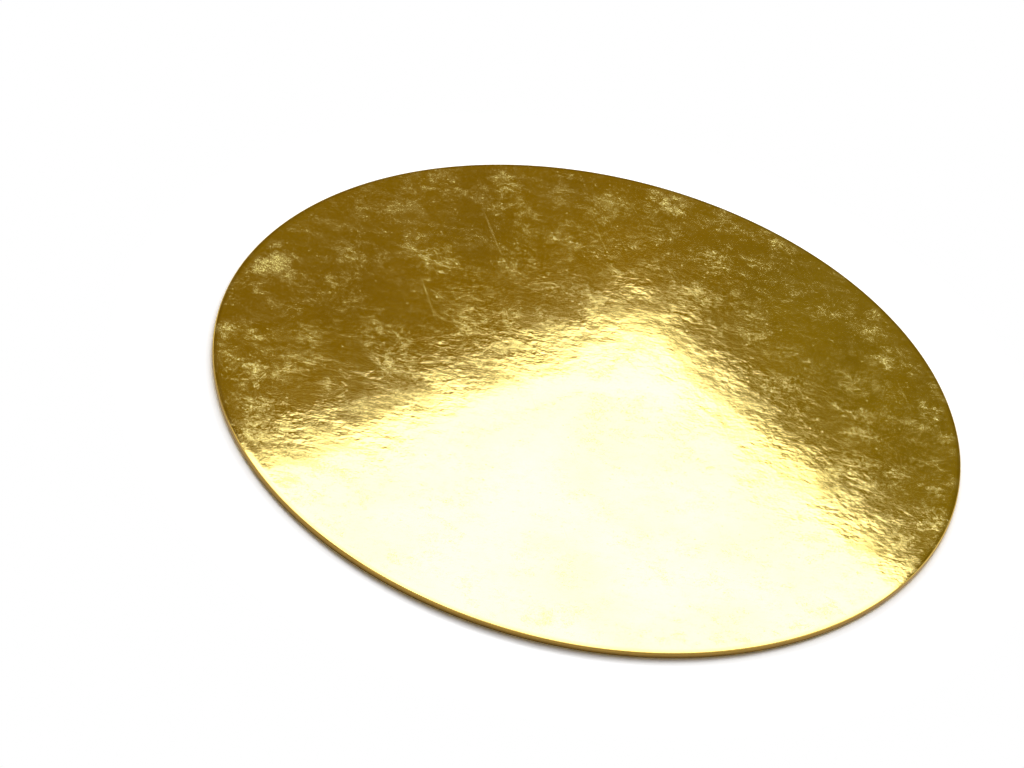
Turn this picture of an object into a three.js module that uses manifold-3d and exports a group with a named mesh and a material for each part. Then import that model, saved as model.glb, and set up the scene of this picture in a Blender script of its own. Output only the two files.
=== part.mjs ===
// Round gold cake board: a thick card disc whose gold foil paper is turned over the rim and tucked under.
// Millimetres, +Z up. The origin is the centre of the underside, so the board lies on the plane z = 0.

import * as THREE from "three";
import { mergeVertices } from "three/addons/utils/BufferGeometryUtils.js";
import Module from "manifold-3d";

const wasm = await Module();
wasm.setup();

// Driving dimensions, in millimetres and degrees
const boardDiameter = 305;
const boardThickness = 3;

// Rim section, from the flat face outwards and down
const crownWidth = 2.4; // band where the cutting die has pressed the face down
const crownSlope = 7; // how far that band leans where it meets the shoulder
const shoulderRadius = 0.7; // foil drawn over the upper edge
const sideLean = 10; // the side bulges, and leans this far at its upper and lower end
const arrisRadius = 0.45; // foil folded round the lower edge

// Underside: the turned-under hem and the paper that backs the board
const hemWidth = 11; // bare foil between the rim and the backing paper
const backingThickness = 0.25;
const tuckCount = 72; // folds that take up the spare foil of the hem
const tuckThickness = 0.15;
const tuckCover = 1.5; // length of each fold that the backing paper covers

// Facets: how many flats stand for a full turn, and the turn that each flat of the section takes
const facetsRound = 216;
const degreesPerFlat = 20;

const boardRadius = boardDiameter / 2;
const backingRadius = boardRadius - hemWidth;

// Points along arcs that run on into each other, turning clockwise from a start that heads along +X.
// Each arc has an even number of flats, so that its middle is one of the points.
function tangentArcs(start, arcs) {
  const points = [start.clone()];
  const pen = start.clone();
  let heading = 0;
  for (const { radius, turn } of arcs) {
    const flats = 2 * Math.ceil(turn / (2 * degreesPerFlat));
    const step = THREE.MathUtils.degToRad(turn / flats);
    const chord = 2 * radius * Math.sin(step / 2);
    for (let i = 0; i < flats; i++) {
      const direction = heading - step / 2;
      pen.x += chord * Math.cos(direction);
      pen.y += chord * Math.sin(direction);
      heading -= step;
      points.push(pen.clone());
    }
  }
  return points;
}

// The turned edge: crown, shoulder, bulging side and lower arris, down to the level of the hem.
// What the other arcs leave of the thickness is the height of the side.
function rimSection() {
  const crown = THREE.MathUtils.degToRad(crownSlope);
  const lean = THREE.MathUtils.degToRad(sideLean);
  const crownRadius = crownWidth / Math.sin(crown);
  const crownDrop = crownRadius * (1 - Math.cos(crown));
  const shoulderDrop = shoulderRadius * (Math.cos(crown) - Math.sin(lean));
  const arrisDrop = arrisRadius * (1 - Math.sin(lean));
  const sideHeight =
    boardThickness - backingThickness - crownDrop - shoulderDrop - arrisDrop;
  const sideRadius = sideHeight / (2 * Math.sin(lean));

  const points = tangentArcs(new THREE.Vector2(0, boardThickness), [
    { radius: crownRadius, turn: crownSlope },
    { radius: shoulderRadius, turn: 90 - crownSlope - sideLean },
    { radius: sideRadius, turn: 2 * sideLean },
    { radius: arrisRadius, turn: 90 - sideLean },
  ]);
  const reach = Math.max(...points.map((point) => point.x));
  points.forEach((point) => (point.x += boardRadius - reach));
  return points;
}

// Half of the board's section, from the centre of the underside round the rim to the centre of the face.
function boardSection(rim) {
  return [
    new THREE.Vector2(0, 0),
    new THREE.Vector2(backingRadius, 0),
    new THREE.Vector2(backingRadius, backingThickness),
    ...rim.toReversed(),
    new THREE.Vector2(0, boardThickness),
  ];
}

// A tuck lies flat on the hem, pointed at the rim and widest at the backing paper. There the circle of the
// hem is shorter than the rim by 2 pi hemWidth, and each tuck folds its share of that length in two.
function tuckGeometry(hemEdge) {
  const run = hemEdge - backingRadius + tuckCover;
  const width = (Math.PI * hemWidth) / tuckCount;
  const outline = new THREE.Shape();
  outline.moveTo(hemEdge, 0);
  outline.lineTo(hemEdge - run, width);
  outline.lineTo(hemEdge - run, 0);
  outline.closePath();
  // The fold stands tuckThickness proud of the hem, and as much again is inside the board.
  const geometry = new THREE.ExtrudeGeometry(outline, {
    depth: 2 * tuckThickness,
    bevelEnabled: false,
  });
  geometry.translate(0, 0, backingThickness - tuckThickness);
  return geometry;
}

function solidFrom(geometry) {
  const plain = geometry.clone();
  plain.deleteAttribute("normal");
  plain.deleteAttribute("uv");
  const merged = mergeVertices(plain, 1e-4);
  return new wasm.Manifold(
    new wasm.Mesh({
      numProp: 3,
      vertProperties: merged.getAttribute("position").array,
      triVerts: Uint32Array.from(merged.index.array),
    }),
  );
}

function geometryFrom(solid) {
  const mesh = solid.getMesh();
  const geometry = new THREE.BufferGeometry();
  geometry.setAttribute(
    "position",
    new THREE.BufferAttribute(mesh.vertProperties, mesh.numProp),
  );
  geometry.setIndex(new THREE.BufferAttribute(mesh.triVerts, 1));
  geometry.computeVertexNormals();
  return geometry;
}

function boardGeometry() {
  const rim = rimSection();
  const disc = new THREE.LatheGeometry(boardSection(rim), facetsRound);
  disc.rotateX(Math.PI / 2);

  const hemEdge = rim.at(-1).x;
  let board = solidFrom(disc);
  for (let i = 0; i < tuckCount; i++) {
    const tuck = tuckGeometry(hemEdge);
    tuck.rotateZ((2 * Math.PI * i) / tuckCount);
    board = board.add(solidFrom(tuck));
  }
  return geometryFrom(board);
}

// Gold foil paper, bright enough to mirror what stands round it
const goldFoil = new THREE.MeshStandardMaterial({
  color: 0xe0bb4a,
  roughness: 0.12,
  metalness: 1,
});

const board = new THREE.Mesh(boardGeometry(), goldFoil);
board.name = "cake_board";

const group = new THREE.Group();
group.add(board);

export default group;
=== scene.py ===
import math

import bpy
import numpy as np
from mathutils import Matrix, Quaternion, Vector


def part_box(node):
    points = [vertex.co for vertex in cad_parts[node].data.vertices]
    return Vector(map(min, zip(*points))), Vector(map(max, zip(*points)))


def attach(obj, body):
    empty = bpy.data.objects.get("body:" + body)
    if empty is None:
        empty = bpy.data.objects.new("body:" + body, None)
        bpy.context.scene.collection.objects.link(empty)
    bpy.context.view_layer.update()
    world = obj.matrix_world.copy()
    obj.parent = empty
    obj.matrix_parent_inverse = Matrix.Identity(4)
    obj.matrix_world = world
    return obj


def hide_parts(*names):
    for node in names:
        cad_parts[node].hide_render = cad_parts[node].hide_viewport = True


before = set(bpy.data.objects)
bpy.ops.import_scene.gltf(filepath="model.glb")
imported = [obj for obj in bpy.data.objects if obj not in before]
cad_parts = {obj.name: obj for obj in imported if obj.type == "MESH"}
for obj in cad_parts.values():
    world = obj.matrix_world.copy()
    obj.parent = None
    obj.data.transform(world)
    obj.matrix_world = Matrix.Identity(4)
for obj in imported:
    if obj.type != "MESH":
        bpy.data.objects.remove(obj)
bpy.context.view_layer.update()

MM = 0.001
LOW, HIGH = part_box("cake_board")
RADIUS = (HIGH.x - LOW.x) / 2
THICKNESS = HIGH.z - LOW.z
FULL_TURN = 2 * math.pi

# Rim section and underside, as the board is built
CROWN_WIDTH = 2.4 * MM
CROWN_SLOPE = math.radians(7)
SHOULDER_RADIUS = 0.7 * MM
SIDE_LEAN = math.radians(10)
ARRIS_RADIUS = 0.45 * MM
HEM_WIDTH = 11 * MM
BACKING_THICKNESS = 0.25 * MM
BACKING_EDGE = 0.05 * MM
TUCK_COUNT = 72
TUCK_THICKNESS = 0.15 * MM
TUCK_COVER = 1.5 * MM
BACKING_RADIUS = RADIUS - HEM_WIDTH

# Mesh: spacing of points on the face, points round the rim for each tuck, and turn of each flat of the rim
FACE_SPACING = 1.25 * MM
POINTS_PER_TUCK = 12
FLAT_TURN = math.radians(7)

# Unevenness of the card under the foil: shortest and longest wave in metres, slope, and seed
LONG_WAVES = (60 * MM, 160 * MM, 0.0009, 11)
SHORT_WAVES = (14 * MM, 40 * MM, 0.0013, 12)
WAVE_COUNT = 90
RELIEF_SINK = 0.03 * MM

# Camera, worked out from the outline of the face in the photograph. Lengths are in board radii.
CAMERA_DISTANCE = 8.632
CAMERA_ELEVATION = math.radians(37.54)
CAMERA_ROLL = math.radians(13.13)
CAMERA_AIM = (-0.2027, -0.0686)
FOCAL_PIXELS = 3280.6
IMAGE_WIDTH = 1024
SENSOR_WIDTH = 36

# Softbox: a level panel over the board, one corner of which the foil mirrors
SOFTBOX_HEIGHT = 1.2
SOFTBOX_SIDE = 1.25
SOFTBOX_CORNER = (0.034, 1.692)
SOFTBOX_EDGES = (math.radians(-129.4), math.radians(-45.5))
SOFTBOX_RADIANCE = 2.85

# Two back lights, left and right of straight behind: they lay the shadow in front of the rim
BACK_LIGHT_TURNS = (math.radians(-36), math.radians(36))
BACK_LIGHT_ELEVATION = math.radians(30.5)
BACK_LIGHT_WIDTH = math.radians(18)
BACK_LIGHT_STRENGTH = 1.1

# Foil: heights of its fine relief in metres, the way its marks run, where scuffs fall, and its finish
FIBRE_RELIEF = 4.5e-5
GRIT_HEIGHT = 2.5e-6
GRAIN_TURN = math.radians(-6)
SCRATCH_TURN = math.radians(66)
SCUFF_SHIFT = (3.1, 0.3, 1.7)
FOIL_ROUGHNESS = 0.054
HAZE_ROUGHNESS = 0.55
EDGE_ROUGHNESS = 0.25

# Share of haze that each kind of mark adds
CLOUD_HAZE = (0.04, 0.18)
STREAK_HAZE = 0.012
SCUFF_HAZE = 0.27
GRAIN_HAZE = 0.03
GRIT_HAZE = 0.2
DASH_HAZE = 0.12
SCRATCH_HAZE = 0.07

# Colours, linear
FOIL_COLOUR = (1.0, 0.83, 0.30, 1)
FOIL_DEEP = (1.0, 0.81, 0.26, 1)
HAZE_COLOUR = (0.94, 0.81, 0.24, 1)
# Painted shade on the turned edge: a darker, browner gold standing in for the shadowed floor and dark room
# that the edge mirrors, and the share of it that the crown gets
EDGE_PAINTED_SHADE = (0.34, 0.205, 0.045, 1)
CROWN_PAINTED_SHADE_SHARE = 0.36
PAPER_COLOUR = (0.80, 0.77, 0.70, 1)
PAPER_SHADE = 0.93
WHITE = (1, 1, 1, 1)

# Room that the foil mirrors: dark where the camera looks, with pale parts elsewhere
DARK_ROOM = (0.235, 0.148, 0.0, 1)
DARK_ROOM_DEEP = (0.152, 0.092, 0.0, 1)
DARK_ROOM_RIGHT = (0.222, 0.157, 0.004, 1)
DARK_ROOM_DEEP_RIGHT = (0.143, 0.098, 0.002, 1)
ROOM_LIGHT = (1.3, 1.15, 0.8, 1)
DARK_SIDE = (0.0, 0.79, 0.61)
AMBIENT = 0.12

# Floor: its grey, how much paler the camera and mirrors see it, and where it fades to white, in metres
FLOOR_COLOUR = 0.8
FLOOR_GAIN = 1.7
FLOOR_REACH = 12.0
FLOOR_FADE = (0.159, 0.195)


def tangent_arcs(start, arcs):
    """Points along arcs that run on into each other, turning clockwise from a start that heads along +X."""
    points = [start]
    x, z = start
    heading = 0.0
    for radius, turn in arcs:
        flats = 2 * math.ceil(turn / (2 * FLAT_TURN))
        step = turn / flats
        chord = 2 * radius * math.sin(step / 2)
        for _ in range(flats):
            x += chord * math.cos(heading - step / 2)
            z += chord * math.sin(heading - step / 2)
            heading -= step
            points.append((x, z))
    return points


def rim_section():
    """(radius, height) round the turned edge, from the flat of the face to the hem."""
    crown_radius = CROWN_WIDTH / math.sin(CROWN_SLOPE)
    side_height = (
        THICKNESS
        - BACKING_THICKNESS
        - crown_radius * (1 - math.cos(CROWN_SLOPE))
        - SHOULDER_RADIUS * (math.cos(CROWN_SLOPE) - math.sin(SIDE_LEAN))
        - ARRIS_RADIUS * (1 - math.sin(SIDE_LEAN))
    )
    side_radius = side_height / (2 * math.sin(SIDE_LEAN))
    points = tangent_arcs(
        (0.0, THICKNESS),
        [
            (crown_radius, CROWN_SLOPE),
            (SHOULDER_RADIUS, math.pi / 2 - CROWN_SLOPE - SIDE_LEAN),
            (side_radius, 2 * SIDE_LEAN),
            (ARRIS_RADIUS, math.pi / 2 - SIDE_LEAN),
        ],
    )
    shift = RADIUS - max(x for x, _ in points)
    return [(x + shift, z) for x, z in points]


class RingMesh:
    """A closed surface made ring by ring about Z, where neighbouring rings may differ in number of points."""

    def __init__(self):
        self.points = []
        self.faces = []
        self.last = None

    def pole(self, height):
        """A point on the axis, which starts the surface or closes it."""
        self.points.append((0.0, 0.0, height))
        index = len(self.points) - 1
        if self.last is not None:
            first, angles = self.last
            count = len(angles)
            self.faces += [(first + (i + 1) % count, first + i, index) for i in range(count)]
        self.last = (index, None)

    def ring(self, radii, heights, angles):
        first = len(self.points)
        self.points += zip(radii * np.cos(angles), radii * np.sin(angles), heights)
        before, old = self.last
        if old is None:
            count = len(angles)
            self.faces += [(first + i, first + (i + 1) % count, before) for i in range(count)]
        else:
            self.zip_rings(before, old, first, angles)
        self.last = (first, angles)

    def zip_rings(self, a, a_angles, b, b_angles):
        """Fills the band between two rings, stepping on whichever ring is behind."""
        i = j = 0
        na, nb = len(a_angles), len(b_angles)
        while i < na or j < nb:
            next_a = a_angles[(i + 1) % na] + FULL_TURN * ((i + 1) // na) if i < na else math.inf
            next_b = b_angles[(j + 1) % nb] + FULL_TURN * ((j + 1) // nb) if j < nb else math.inf
            if next_a <= next_b:
                self.faces.append((a + i % na, b + j % nb, a + (i + 1) % na))
                i += 1
            else:
                self.faces.append((a + i % na, b + j % nb, b + (j + 1) % nb))
                j += 1

    def mesh(self, name):
        made = bpy.data.meshes.new(name)
        made.from_pydata([tuple(map(float, p)) for p in self.points], [], self.faces)
        made.update()
        made.polygons.foreach_set("use_smooth", [True] * len(made.polygons))
        return made


def even_ring(surface, radius, height, count):
    angles = np.arange(count) * FULL_TURN / count
    surface.ring(np.full(count, radius), np.full(count, height), angles)


def waves(x, y, shortest, longest, slope, seed):
    """Smooth random relief: a sum of waves in all directions, whose slope is about the given one."""
    random = np.random.default_rng(seed)
    length = np.exp(random.uniform(math.log(shortest), math.log(longest), WAVE_COUNT))
    heading = random.uniform(0, FULL_TURN, WAVE_COUNT)
    phase = random.uniform(0, FULL_TURN, WAVE_COUNT)
    height = np.zeros_like(x)
    for wave, way, start in zip(length, heading, phase):
        k = FULL_TURN / wave
        along = x * math.cos(way) + y * math.sin(way)
        height += slope * math.sqrt(2 / WAVE_COUNT) / k * np.cos(k * along + start)
    return height


def board_surface():
    """Foil face, turned edge, hem with its tucks, and the flat that the backing paper covers."""
    surface = RingMesh()
    rim = rim_section()
    flat_radius = rim[0][0]
    surface.pole(THICKNESS)
    rings = round(flat_radius / FACE_SPACING)
    for i in range(1, rings):
        radius = flat_radius * i / rings
        even_ring(surface, radius, THICKNESS, max(6, round(FULL_TURN * radius / FACE_SPACING)))
    around = TUCK_COUNT * POINTS_PER_TUCK
    for radius, height in rim:
        even_ring(surface, radius, height, around)
    hem_rings(surface, rim[-1][0])
    inner = BACKING_RADIUS - 2 * TUCK_COVER
    even_ring(surface, inner, BACKING_THICKNESS, around)
    even_ring(surface, inner / 2, BACKING_THICKNESS, TUCK_COUNT)
    surface.pole(BACKING_THICKNESS)
    return surface


def hem_rings(surface, hem_edge):
    """Rings of the hem. On each, the first points of a tuck make its fold, the rest spread over the flat."""
    pitch = FULL_TURN / TUCK_COUNT
    inner = BACKING_RADIUS - TUCK_COVER
    spread = np.linspace(0, 1, POINTS_PER_TUCK - 3)[1:-1]
    for share in (0.02, 0.15, 0.3, 0.5, 0.75, 1.0):
        radius = hem_edge + (inner - hem_edge) * share
        width = math.pi * (hem_edge - radius) / TUCK_COUNT / radius
        edge = 0.06 * width
        fold = [0.0, edge, width - edge, width]
        rest = width + spread * (pitch - width)
        angles = np.concatenate([pitch * k + np.concatenate([fold, rest]) for k in range(TUCK_COUNT)])
        drop = np.zeros(POINTS_PER_TUCK - 1)
        drop[1:3] = TUCK_THICKNESS * min(1.0, share * 3)
        heights = BACKING_THICKNESS - np.tile(drop, TUCK_COUNT)
        surface.ring(np.full(len(angles), radius), heights, angles)


def add_relief(mesh):
    """Gives the face the gentle unevenness of the card under the foil, fading out towards the rim."""
    co = np.empty(len(mesh.vertices) * 3)
    mesh.vertices.foreach_get("co", co)
    co = co.reshape(-1, 3)
    x, y, z = co.T
    relief = waves(x, y, *LONG_WAVES) + waves(x, y, *SHORT_WAVES)
    reach = np.hypot(x, y)
    on_face = (z > THICKNESS * 0.6) * np.clip((RADIUS - 0.5 * MM - reach) / (3 * MM), 0, 1)
    co[:, 2] += on_face * (relief - RELIEF_SINK)
    mesh.vertices.foreach_set("co", co.ravel())
    mesh.update()


def link(name, data):
    made = bpy.data.objects.new(name, data)
    bpy.context.scene.collection.objects.link(made)
    return made


class Nodes:
    """Short hand for a node tree: each call adds one node, sets its inputs and returns it or its output."""

    def __init__(self, tree):
        self.tree = tree
        tree.nodes.clear()

    def add(self, kind, settings=None, **inputs):
        """Inputs go by name, with _ for a space, or by number as i0, i1 and so on."""
        made = self.tree.nodes.new(kind)
        for key, value in (settings or {}).items():
            setattr(made, key, value)
        for key, value in inputs.items():
            by_number = key[0] == "i" and key[1:].isdigit()
            socket = made.inputs[int(key[1:]) if by_number else key.replace("_", " ")]
            if isinstance(value, bpy.types.NodeSocket):
                self.tree.links.new(value, socket)
            else:
                socket.default_value = value
        return made

    def math(self, operation, a, b=0.0, c=0.0):
        return self.add("ShaderNodeMath", {"operation": operation}, i0=a, i1=b, i2=c).outputs[0]

    def plus(self, value, mask, share):
        """The value with share times the mask added."""
        return self.math("MULTIPLY_ADD", mask, share, value)

    def vector(self, operation, vector, other, output=0):
        made = self.add("ShaderNodeVectorMath", {"operation": operation}, i0=vector, i1=other)
        return made.outputs[output]

    def noise(self, vector, scale, detail, roughness=0.5):
        """Noise whose largest features come scale times in a metre."""
        made = self.add(
            "ShaderNodeTexNoise", Vector=vector, Scale=scale, Detail=detail, Roughness=roughness
        )
        return made.outputs["Fac"]

    def stretched(self, vector, x, y=1.0, z=1.0):
        return self.vector("MULTIPLY", vector, (x, y, z))

    def turned(self, vector, angle):
        made = self.add("ShaderNodeVectorRotate", {"rotation_type": "Z_AXIS"}, Vector=vector, Angle=angle)
        return made.outputs[0]

    def spots(self, vector, scale, inner, outer):
        """1 in small round spots, 0 between them."""
        made = self.add("ShaderNodeTexVoronoi", Vector=vector, Scale=scale)
        return self.span(made.outputs["Distance"], inner, outer, 1.0, 0.0)

    def blend(self, share, first, second):
        made = self.add("ShaderNodeMix", {"data_type": "RGBA"}, i0=share, i6=first, i7=second)
        return made.outputs[2]

    def span(self, value, low, high, to_low=0.0, to_high=1.0):
        """Smooth step from to_low, at or below low, to to_high, at or above high."""
        made = self.add("ShaderNodeMapRange", {"interpolation_type": "SMOOTHSTEP"}, Value=value)
        numbers = (low, high, to_low, to_high)
        for name, number in zip(("From Min", "From Max", "To Min", "To Max"), numbers):
            made.inputs[name].default_value = number
        return made.outputs[0]


def new_material(name):
    made = bpy.data.materials.new(name)
    made.use_nodes = True
    return made, Nodes(made.node_tree)


def foil_relief(n, place, along, grit):
    """Height of the card's fibres under the foil, stronger in some patches, and of grit."""
    patches = n.noise(place, 38.0, 3.0, 0.6)
    strength = n.span(patches, 0.36, 0.64, 0.4 * FIBRE_RELIEF, 1.75 * FIBRE_RELIEF)
    fibres = n.math("SUBTRACT", n.noise(along, 165.0, 5.0, 0.56), 0.5)
    return n.math("MULTIPLY_ADD", grit, GRIT_HEIGHT, n.math("MULTIPLY", fibres, strength))


def foil_haze(n, place, grain_way, along, grit, reach):
    """How hazy the foil is: clouds and streaks, scuffs near the rim, grain, grit, dashes and scratches."""
    fine = n.span(n.noise(along, 100.0, 7.0, 0.95), 0.48, 0.63)
    cloud = n.span(n.noise(place, 30.0, 5.0, 0.7), 0.36, 0.68, *CLOUD_HAZE)
    streaks = n.span(n.noise(n.stretched(grain_way, 0.22), 850.0, 3.0, 0.9), 0.4, 0.72)
    haze = n.math("MULTIPLY", fine, cloud)
    haze = n.math("MULTIPLY_ADD", streaks, n.math("MULTIPLY_ADD", haze, 0.9, STREAK_HAZE), haze)

    band_start = n.span(reach, 0.78 * RADIUS, 0.93 * RADIUS)
    band_end = n.span(reach, 0.965 * RADIUS, 0.985 * RADIUS, 1.0, 0.0)
    scuff_noise = n.noise(n.vector("ADD", along, SCUFF_SHIFT), 46.0, 8.0, 0.82)
    scuffs = n.math("MULTIPLY", n.span(scuff_noise, 0.52, 0.66), n.math("MULTIPLY", band_start, band_end))
    haze = n.plus(haze, scuffs, SCUFF_HAZE)

    specks = n.span(n.noise(place, 2100.0, 2.0), 0.4, 0.68, 0.45, 1.9)
    haze = n.math("MULTIPLY", haze, specks)
    grain = n.span(n.noise(n.stretched(grain_way, 0.6), 1300.0, 3.0, 0.7), 0.46, 0.68)
    haze = n.plus(haze, grain, GRAIN_HAZE)
    haze = n.plus(haze, grit, GRIT_HAZE)
    dashes = n.span(n.noise(n.stretched(grain_way, 0.09), 1300.0, 3.0, 0.6), 0.66, 0.8)
    haze = n.plus(haze, dashes, DASH_HAZE)
    scratch_way = n.stretched(n.turned(place, SCRATCH_TURN), 0.03)
    scratches = n.span(n.noise(scratch_way, 520.0, 2.0, 0.6), 0.69, 0.78)
    return n.plus(haze, scratches, SCRATCH_HAZE)


def foil_material():
    made, n = new_material("gold_foil")
    place = n.add("ShaderNodeTexCoord").outputs["Object"]
    height = n.add("ShaderNodeSeparateXYZ", i0=place).outputs["Z"]
    reach = n.vector("LENGTH", n.stretched(place, 1.0, 1.0, 0.0), (0, 0, 0), "Value")
    grain_way = n.turned(place, GRAIN_TURN)
    along = n.stretched(grain_way, 0.8)
    grit = n.spots(place, 190.0, 0.03, 0.13)
    relief = foil_relief(n, place, along, grit)
    bump = n.add("ShaderNodeBump", Height=relief, Strength=1.0, Distance=1.0)
    haze = foil_haze(n, place, grain_way, along, grit, reach)

    # Masks of the turned edge: its upright side, and more faintly the crown, where shade is painted; the side
    # also gets extra roughness
    side_top = n.span(height, 2.5 * MM, 2.88 * MM, 1.0, 0.0)
    side_shade_and_roughness = n.math("MULTIPLY", side_top, n.span(height, 0.25 * MM, 0.6 * MM))
    crown_painted_shade_start = n.span(reach, RADIUS - 2.6 * MM, RADIUS - 0.8 * MM, 0.0, CROWN_PAINTED_SHADE_SHARE)
    crown_painted_shade = n.math("MULTIPLY", crown_painted_shade_start, n.span(height, 1.5 * MM, 2.0 * MM))

    # The gold varies a little, is paler where it is hazy, and has painted shade on the turned edge: browner
    # and darker, standing in for the shadowed floor and dark room it mirrors
    gold = n.blend(n.span(n.noise(place, 17.0, 4.0, 0.6), 0.35, 0.65), FOIL_COLOUR, FOIL_DEEP)
    gold = n.blend(n.span(haze, 0.0, 0.5), gold, HAZE_COLOUR)
    gold = n.blend(n.math("MAXIMUM", side_shade_and_roughness, crown_painted_shade), gold, EDGE_PAINTED_SHADE)
    roughness = n.math("MULTIPLY_ADD", haze, HAZE_ROUGHNESS, FOIL_ROUGHNESS)
    shader = n.add(
        "ShaderNodeBsdfPrincipled",
        Base_Color=gold,
        Metallic=n.math("SUBTRACT", 1.0, haze),
        Roughness=n.plus(roughness, side_shade_and_roughness, EDGE_ROUGHNESS),
        Normal=bump.outputs[0],
    )
    n.add("ShaderNodeOutputMaterial", Surface=shader.outputs[0])
    return made


def paper_material():
    made, n = new_material("backing_paper")
    place = n.add("ShaderNodeTexCoord").outputs["Object"]
    fibres = n.noise(place, 900.0, 4.0, 0.6)
    bump = n.add("ShaderNodeBump", Height=fibres, Strength=0.5, Distance=0.08 * MM)
    shaded = tuple(PAPER_SHADE * c for c in PAPER_COLOUR[:3]) + (1,)
    colour = n.blend(n.span(n.noise(place, 60.0, 5.0, 0.6), 0.3, 0.7), PAPER_COLOUR, shaded)
    shader = n.add(
        "ShaderNodeBsdfPrincipled", Base_Color=colour, Roughness=0.85, Normal=bump.outputs[0]
    )
    n.add("ShaderNodeOutputMaterial", Surface=shader.outputs[0])
    return made


def make_board():
    mesh = board_surface().mesh("foil_board")
    add_relief(mesh)
    board = link("foil_board", mesh)
    mesh.materials.append(foil_material())
    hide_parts("cake_board")
    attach(board, "root")


def make_backing():
    """The paper disc glued over the middle of the underside, with its cut edge."""
    surface = RingMesh()
    count = TUCK_COUNT * 6
    surface.pole(BACKING_THICKNESS + BACKING_EDGE)
    even_ring(surface, BACKING_RADIUS - BACKING_EDGE, BACKING_THICKNESS + BACKING_EDGE, count)
    even_ring(surface, BACKING_RADIUS, BACKING_THICKNESS, count)
    even_ring(surface, BACKING_RADIUS, BACKING_EDGE, count)
    even_ring(surface, BACKING_RADIUS - BACKING_EDGE, 0.0, count)
    for share in (0.95, 0.8, 0.6, 0.4, 0.2):
        even_ring(surface, BACKING_RADIUS * share, 0.0, count)
    surface.pole(0.0)
    backing = link("backing_paper", surface.mesh("backing_paper"))
    backing.data.materials.append(paper_material())
    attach(backing, "root")


def make_camera():
    data = bpy.data.cameras.new("camera")
    data.sensor_width = SENSOR_WIDTH
    data.lens = SENSOR_WIDTH * FOCAL_PIXELS / IMAGE_WIDTH
    data.clip_start = 0.05
    data.clip_end = 100
    camera = link("camera", data)
    reach = CAMERA_DISTANCE * RADIUS
    camera.location = (
        0,
        -reach * math.cos(CAMERA_ELEVATION),
        THICKNESS + reach * math.sin(CAMERA_ELEVATION),
    )
    aim = Vector((CAMERA_AIM[0] * RADIUS, CAMERA_AIM[1] * RADIUS, THICKNESS))
    camera.rotation_mode = "QUATERNION"
    level = (aim - camera.location).to_track_quat("-Z", "Y")
    camera.rotation_quaternion = level @ Quaternion((0, 0, 1), CAMERA_ROLL)
    bpy.context.scene.camera = camera


def make_softbox():
    corner = np.array(SOFTBOX_CORNER)
    edges = [SOFTBOX_SIDE * np.array((math.cos(turn), math.sin(turn))) for turn in SOFTBOX_EDGES]
    outline = [corner, corner + edges[0], corner + edges[0] + edges[1], corner + edges[1]]
    points = [(*map(float, point), SOFTBOX_HEIGHT) for point in outline]
    mesh = bpy.data.meshes.new("softbox")
    mesh.from_pydata(points, [], [(3, 2, 1, 0)])
    material, n = new_material("softbox")
    glow = n.add("ShaderNodeEmission", Color=WHITE, Strength=SOFTBOX_RADIANCE)
    n.add("ShaderNodeOutputMaterial", Surface=glow.outputs[0])
    mesh.materials.append(material)
    softbox = link("softbox", mesh)
    softbox.visible_camera = False
    softbox.visible_shadow = False


def make_back_lights():
    for turn in BACK_LIGHT_TURNS:
        data = bpy.data.lights.new("back_light", "SUN")
        data.energy = BACK_LIGHT_STRENGTH
        data.angle = BACK_LIGHT_WIDTH
        lamp = link("back_light", data)
        lamp.rotation_euler = (math.pi / 2 - BACK_LIGHT_ELEVATION, 0, math.pi - turn)
        lamp.visible_glossy = False


def seen_directly(n):
    """1 for rays that show the background itself: to the camera, in a mirror or through glass."""
    path = n.add("ShaderNodeLightPath").outputs
    seen = n.math("MAXIMUM", path["Is Camera Ray"], path["Is Glossy Ray"])
    return n.math("MAXIMUM", seen, path["Is Transmission Ray"])


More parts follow.
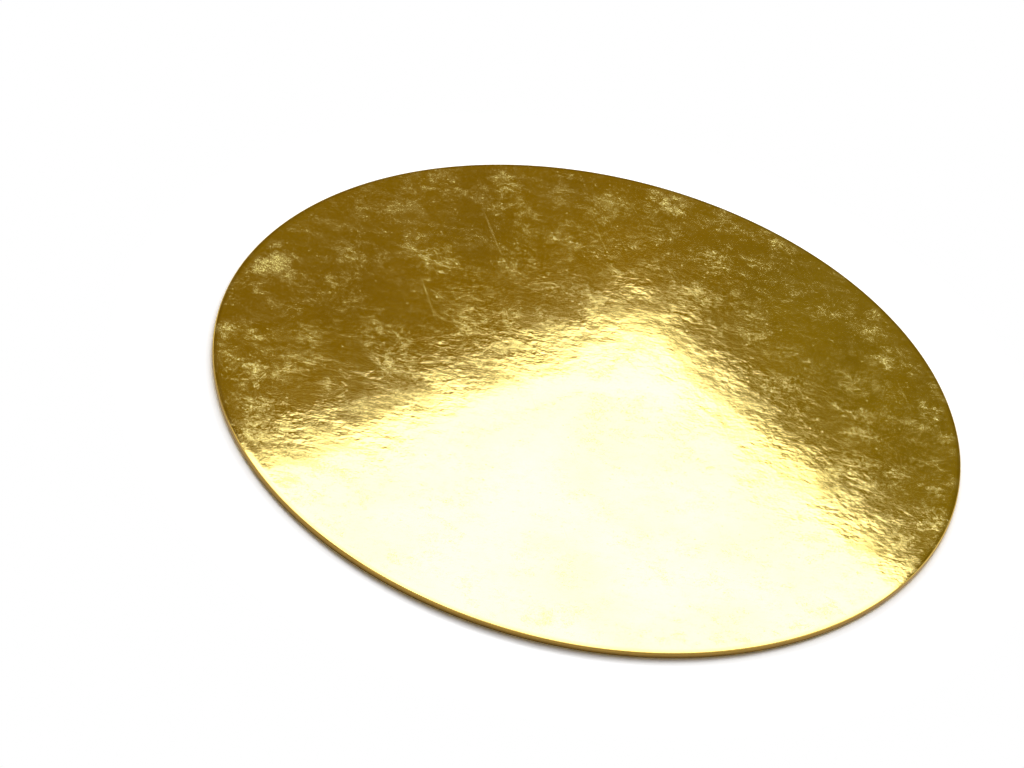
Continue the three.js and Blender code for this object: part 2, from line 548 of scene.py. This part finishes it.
def make_floor():
    r = FLOOR_REACH
    mesh = bpy.data.meshes.new("floor")
    mesh.from_pydata([(-r, -r, 0), (r, -r, 0), (r, r, 0), (-r, r, 0)], [], [(0, 1, 2, 3)])
    floor = link("floor", mesh)
    material, n = new_material("floor")
    seen = seen_directly(n)
    level = n.math("MULTIPLY_ADD", seen, FLOOR_COLOUR * (FLOOR_GAIN - 1), FLOOR_COLOUR)
    colour = n.add("ShaderNodeCombineColor", i0=level, i1=level, i2=level)
    near = n.add("ShaderNodeBsdfDiffuse", Color=colour.outputs[0])
    far = n.add("ShaderNodeEmission", Color=WHITE, Strength=1.0)
    place = n.add("ShaderNodeTexCoord").outputs["Object"]
    distance = n.vector("LENGTH", place, (0, 0, 0), "Value")
    fade = n.math("MULTIPLY", n.span(distance, *FLOOR_FADE), seen)
    both = n.add("ShaderNodeMixShader", i0=fade, i1=near.outputs[0], i2=far.outputs[0])
    n.add("ShaderNodeOutputMaterial", Surface=both.outputs[0])
    mesh.materials.append(material)


def mirrored_room(n):
    """What the foil mirrors round the board: a pale horizon, and a dark room with pale parts above it."""
    direction = n.add("ShaderNodeTexCoord").outputs["Generated"]
    across, _, up = n.add("ShaderNodeSeparateXYZ", i0=direction).outputs
    towards = n.vector("DOT_PRODUCT", direction, DARK_SIDE, "Value")
    pale_parts = n.span(n.noise(direction, 5.0, 1.0), 0.43, 0.55)
    lit = n.math("MULTIPLY", pale_parts, n.span(towards, 0.75, 0.9, 1.0, 0.0))
    detail = n.span(n.noise(direction, 70.0, 3.0, 0.6), 0.3, 0.7)
    left = n.blend(detail, DARK_ROOM_DEEP, DARK_ROOM)
    right = n.blend(detail, DARK_ROOM_DEEP_RIGHT, DARK_ROOM_RIGHT)
    dark = n.blend(n.span(across, 0.0, 0.07), left, right)
    room = n.blend(lit, dark, ROOM_LIGHT)
    return n.blend(n.span(up, 0.02, 0.3), WHITE, room)


def make_world():
    world = bpy.data.worlds.new("studio")
    bpy.context.scene.world = world
    world.use_nodes = True
    n = Nodes(world.node_tree)
    path = n.add("ShaderNodeLightPath").outputs
    ambient = (AMBIENT, AMBIENT, AMBIENT, 1)
    plain = n.blend(path["Is Glossy Ray"], ambient, mirrored_room(n))
    shown = n.blend(path["Is Camera Ray"], plain, WHITE)
    background = n.add("ShaderNodeBackground", Color=shown, Strength=1.0)
    n.add("ShaderNodeOutputWorld", Surface=background.outputs[0])


make_camera()
make_board()
make_backing()
make_softbox()
make_back_lights()
make_floor()
make_world()
bpy.context.scene.view_settings.view_transform = "Standard"
